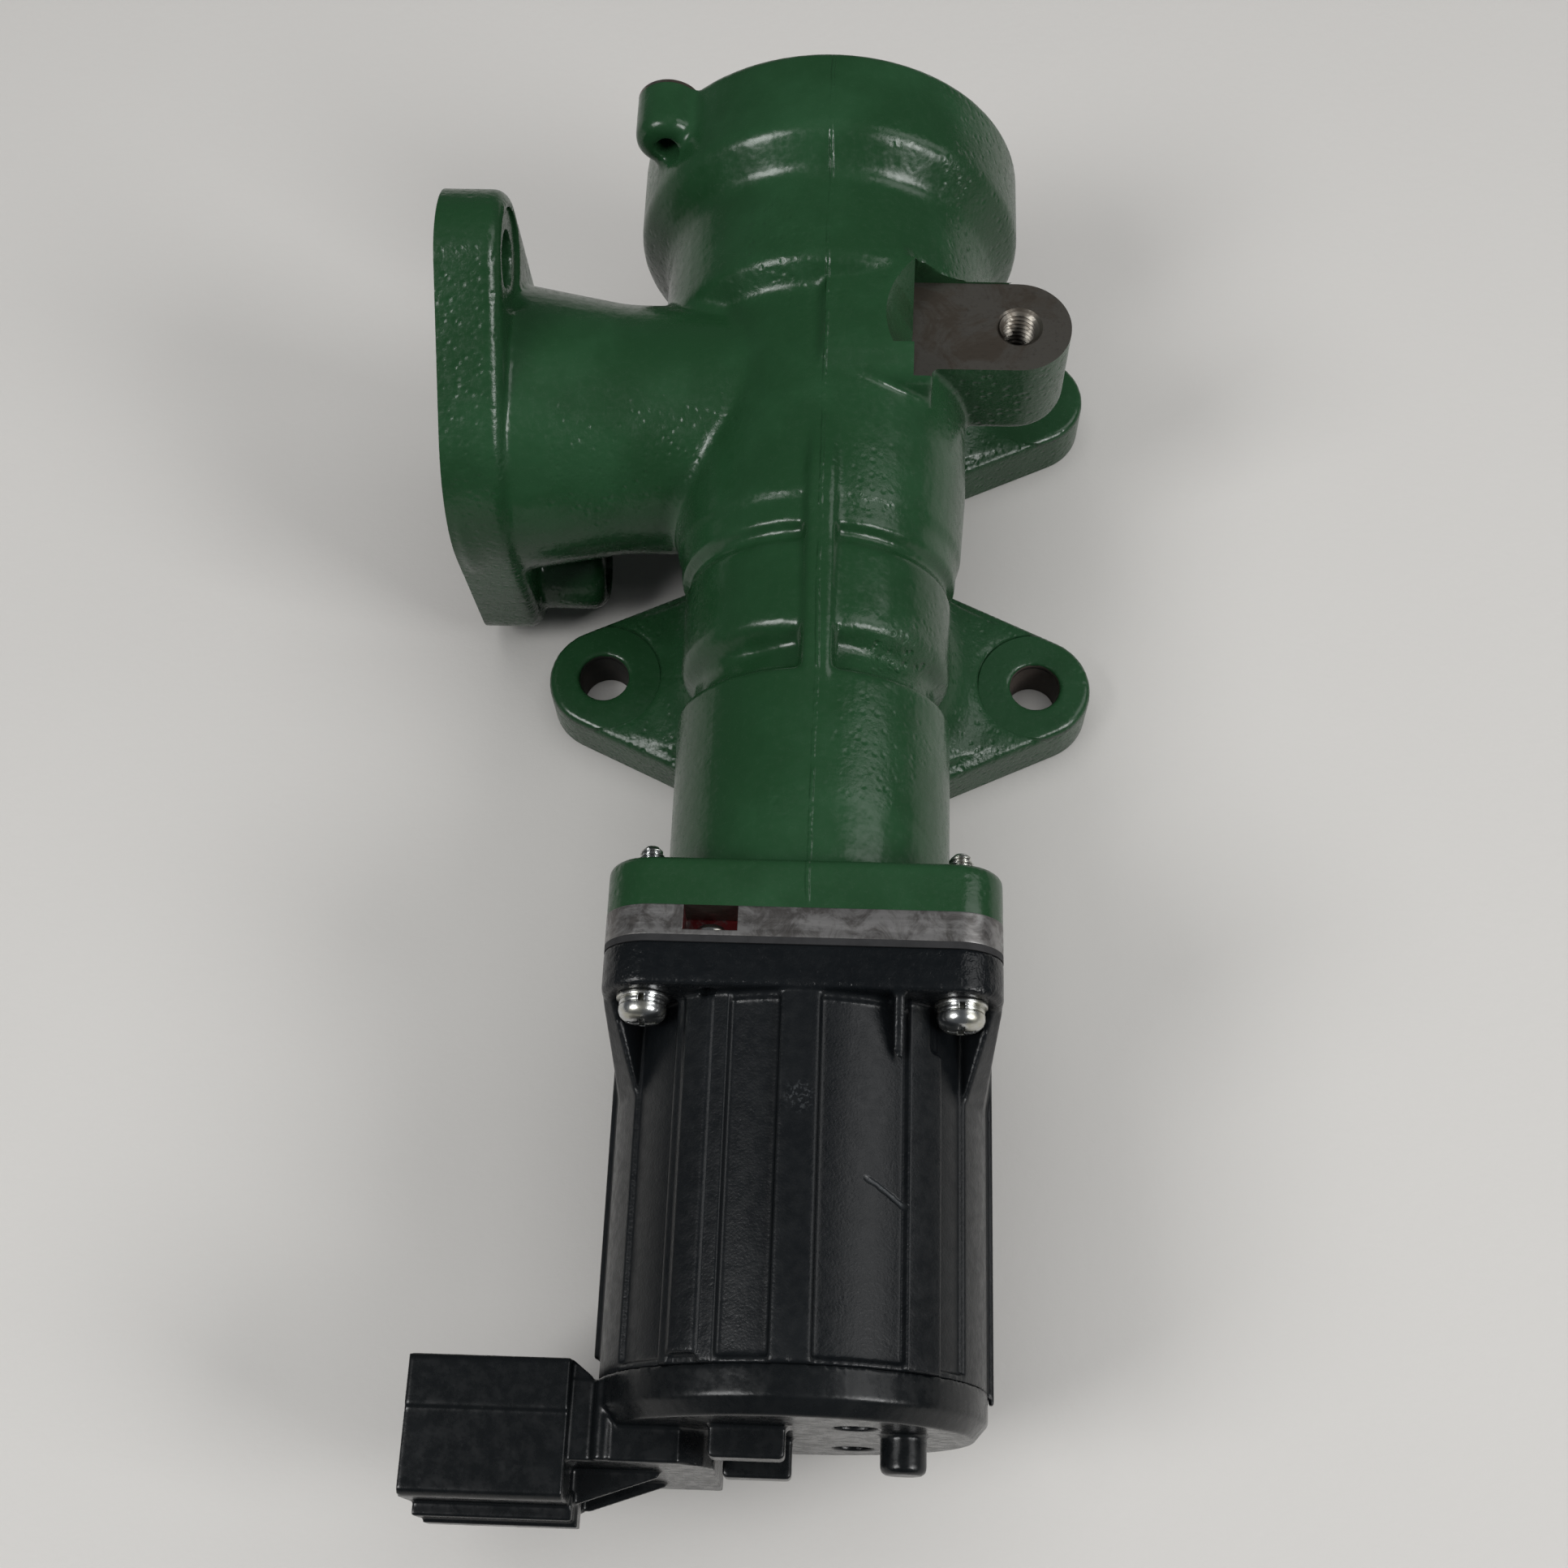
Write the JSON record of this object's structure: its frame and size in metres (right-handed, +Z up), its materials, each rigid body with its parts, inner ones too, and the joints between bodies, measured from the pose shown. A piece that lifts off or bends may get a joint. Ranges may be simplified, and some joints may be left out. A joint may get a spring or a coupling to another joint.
{
  "type": "exhaust gas recirculation valve",
  "caption": "Motor-driven exhaust gas valve: cast body with base feet, side inlet branch, open bell outlet and bracket lug, with a flanged stepper motor and side connector.",
  "frame": {"origin": "centre of the four base bolt holes, on the mounting face", "axes": "+Z up from the mounting face, +Y along the valve axis from the motor to the open bell, -X towards the gas inlet flange"},
  "size_m": [0.132, 0.2808, 0.0976],
  "materials": {
    "green_paint": "dark green gloss paint over cast iron",
    "bare_plate": "bare machined, stained",
    "gasket": "thin dark gasket",
    "black_casting": "black coated, satin",
    "black_moulding": "glossy black moulding",
    "zinc": "bright zinc plated",
    "terminal": "tin plated",
    "seat_steel": "ground steel",
    "valve_steel": "ground stainless",
    "bronze": "sintered bronze",
    "brass": "machined brass",
    "seal": "moulded",
    "spring_steel": "oiled spring steel",
    "magnet": "sintered ferrite",
    "bearing_steel": "ground bearing steel",
    "yoke_steel": "plated pressing",
    "bobbin": "natural moulding",
    "copper": "enamelled winding"
  },
  "bodies": {
    "housing": {"valve_body": "green_paint", "near_seat_ring": "seat_steel", "far_seat_ring": "seat_steel", "stem_bushing": "bronze", "stem_seal": "seal", "return_spring": "spring_steel", "adapter_plate": "bare_plate", "joint_gasket": "gasket", "plate_screws": "zinc", "motor_screws": "zinc", "spring_washers": "zinc", "flat_washers": "zinc", "motor_housing": "black_casting", "motor_end_cap": "black_moulding", "terminal_pins": "terminal", "front_bearing_outer_race": "bearing_steel", "front_bearing_balls": "bearing_steel", "rear_bearing_outer_race": "bearing_steel", "rear_bearing_balls": "bearing_steel", "wave_washer": "spring_steel", "front_stator_yoke": "yoke_steel", "rear_stator_yoke": "yoke_steel", "front_coil_bobbin": "bobbin", "rear_coil_bobbin": "bobbin", "front_coil": "copper", "rear_coil": "copper"},
    "rotor": {"rotor_nut": "brass", "rotor_magnet": "magnet", "front_bearing_inner_race": "bearing_steel", "rear_bearing_inner_race": "bearing_steel"},
    "lead_screw": {"lead_screw": "valve_steel"},
    "valve": {"valve_stem": "valve_steel", "near_poppet": "valve_steel", "far_poppet": "valve_steel", "poppet_spacer": "valve_steel", "poppet_nut": "zinc", "spring_retainer": "spring_steel", "stem_keepers": "spring_steel"}
  },
  "joints": [
    {"name": "rotor_spin", "type": "hinge", "parent": "housing", "child": "rotor", "pos_m": [0, -0.155, 0.049], "axis": [0, 1, 0], "range_deg": [0, 720]},
    {"name": "screw_travel", "type": "slide", "parent": "housing", "child": "lead_screw", "axis": [0, 1, 0], "range_m": [0, 0.008]},
    {"name": "valve_lift", "type": "slide", "parent": "housing", "child": "valve", "axis": [0, 1, 0], "range_m": [0, 0.008], "deforming": ["return_spring"]}
  ],
  "couplings": [
    {"joint": "screw_travel", "follows": "valve_lift", "ratio": 1},
    {"joint": "rotor_spin", "follows": "valve_lift", "rad_per_m": 1570.8}
  ]
}
